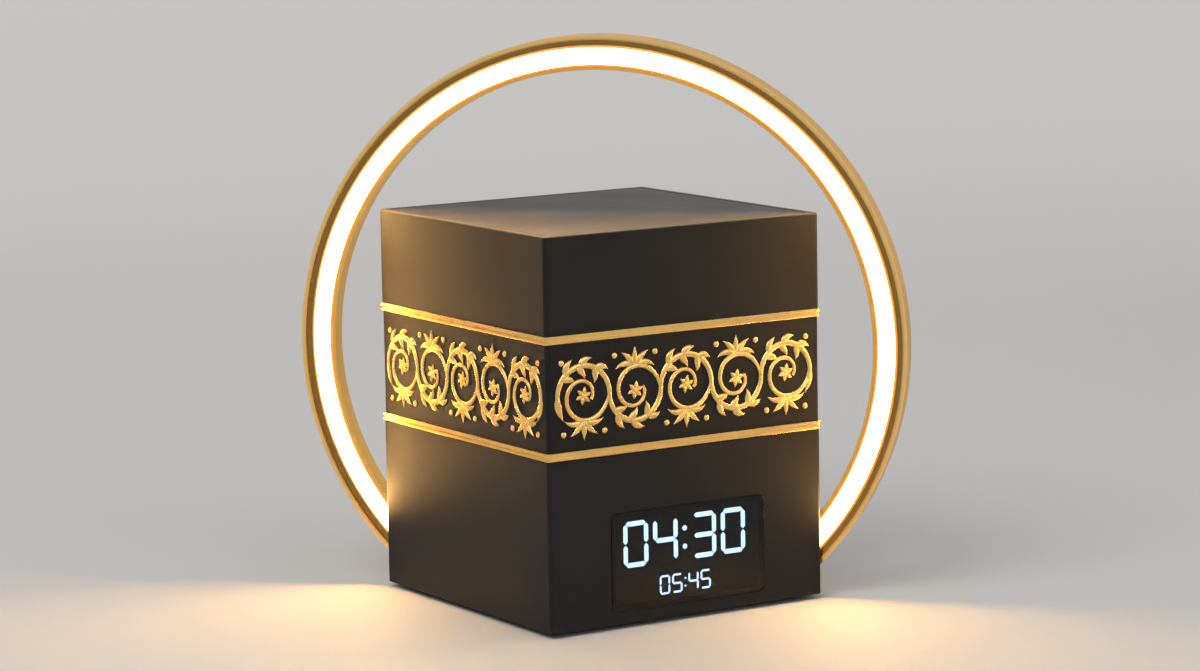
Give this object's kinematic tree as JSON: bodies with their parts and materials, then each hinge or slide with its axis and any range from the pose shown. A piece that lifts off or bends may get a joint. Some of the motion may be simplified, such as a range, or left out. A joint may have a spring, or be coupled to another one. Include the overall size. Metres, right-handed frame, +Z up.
{
  "type": "azan clock",
  "caption": "Desk clock with a square housing, gold relief band, low display window, tap plate on top and a C-shaped ring light that stands behind its diagonal.",
  "frame": {"origin": "on the floor under the housing's upright axis, in the middle of the base pad", "axes": "+Z up; the display faces -Y; the ring light stands in an upright plane from the -X +Y corner to the +X -Y corner"},
  "size_m": [0.1449, 0.1449, 0.177],
  "materials": {
    "shell_black": "fine satin texture",
    "gold_trim": "gold metallised plastic, satin",
    "light_diffuser": "milky light diffuser, lit warm white",
    "window_black": "dark glossy tinted acrylic",
    "display_black": "matt black",
    "display_segments": "lit cool white",
    "board_green": "solder mask",
    "chip_black": "moulded",
    "steel": "bright zinc",
    "nickel": "bright nickel",
    "rubber_black": "matt",
    "foam_black": "closed-cell foam",
    "paper_cone": "pressed pulp",
    "ferrite": "sintered",
    "button_black": "satin",
    "plunger_white": "moulded",
    "cell_wrap": "shrink sleeve",
    "led_yellow": "phosphor",
    "ribbon_white": "laminated film",
    "connector_ivory": "moulded",
    "lead_red": "PVC insulation"
  },
  "bodies": {
    "housing": {"lower_housing": "shell_black", "upper_housing": "shell_black", "band_sleeve": "shell_black", "base_plate": "shell_black", "lower_trim": "gold_trim", "upper_trim": "gold_trim", "ring_channel": "gold_trim", "ring_diffuser": "light_diffuser", "display_window": "window_black", "display_module": "display_black", "display_segments": "display_segments", "main_board": "board_green", "display_board": "board_green", "tap_board": "board_green", "ring_led_board": "board_green", "board_chips": "chip_black", "reset_switch": "chip_black", "power_switch": "chip_black", "tap_switch": "chip_black", "mode_switch": "chip_black", "previous_switch": "chip_black", "next_switch": "chip_black", "light_switch": "chip_black", "inlet_tongue": "chip_black", "base_screws": "steel", "ring_screws": "steel", "housing_screws": "steel", "tap_board_screws": "steel", "display_board_screws": "steel", "main_board_screws": "steel", "speaker_screws": "steel", "cradle_screws": "steel", "plate_springs": "steel", "speaker_basket": "steel", "inlet_shell": "nickel", "coin_cell": "nickel", "base_pad": "rubber_black", "speaker_surround": "rubber_black", "speaker_gasket": "foam_black", "speaker_cone": "paper_cone", "speaker_magnet": "ferrite", "battery_cell": "cell_wrap", "ring_leds": "led_yellow", "display_ribbon": "ribbon_white", "ribbon_connectors": "connector_ivory", "coin_holder": "connector_ivory", "cell_cradle": "connector_ivory", "inner_leads": "lead_red"},
    "tap_plate": {"top_plate": "shell_black", "plate_clips": "steel", "tap_plunger": "plunger_white"},
    "power_slider": {"power_knob": "button_black"},
    "mode_key": {"mode_button": "button_black", "mode_plunger": "plunger_white"},
    "previous_key": {"previous_button": "button_black", "previous_plunger": "plunger_white"},
    "next_key": {"next_button": "button_black", "next_plunger": "plunger_white"},
    "light_key": {"light_button": "button_black", "light_plunger": "plunger_white"}
  },
  "joints": [
    {"name": "tap_plate_press", "type": "slide", "parent": "housing", "child": "tap_plate", "axis": [0, 0, -1], "range_m": [0, 0.0004], "stiffness_N_per_m": 800, "springref_m": -0.0015, "deforming": ["plate_springs"]},
    {"name": "power_slide", "type": "slide", "parent": "housing", "child": "power_slider", "axis": [1, 0, 0], "range_m": [0, 0.003]},
    {"name": "mode_press", "type": "slide", "parent": "housing", "child": "mode_key", "axis": [0, -1, 0], "range_m": [0, 0.0008], "stiffness_N_per_m": 1200, "springref_m": -0.0004},
    {"name": "previous_press", "type": "slide", "parent": "housing", "child": "previous_key", "axis": [0, -1, 0], "range_m": [0, 0.0008], "stiffness_N_per_m": 1200, "springref_m": -0.0004},
    {"name": "next_press", "type": "slide", "parent": "housing", "child": "next_key", "axis": [0, -1, 0], "range_m": [0, 0.0008], "stiffness_N_per_m": 1200, "springref_m": -0.0004},
    {"name": "light_press", "type": "slide", "parent": "housing", "child": "light_key", "axis": [0, -1, 0], "range_m": [0, 0.0008], "stiffness_N_per_m": 1200, "springref_m": -0.0004}
  ]
}
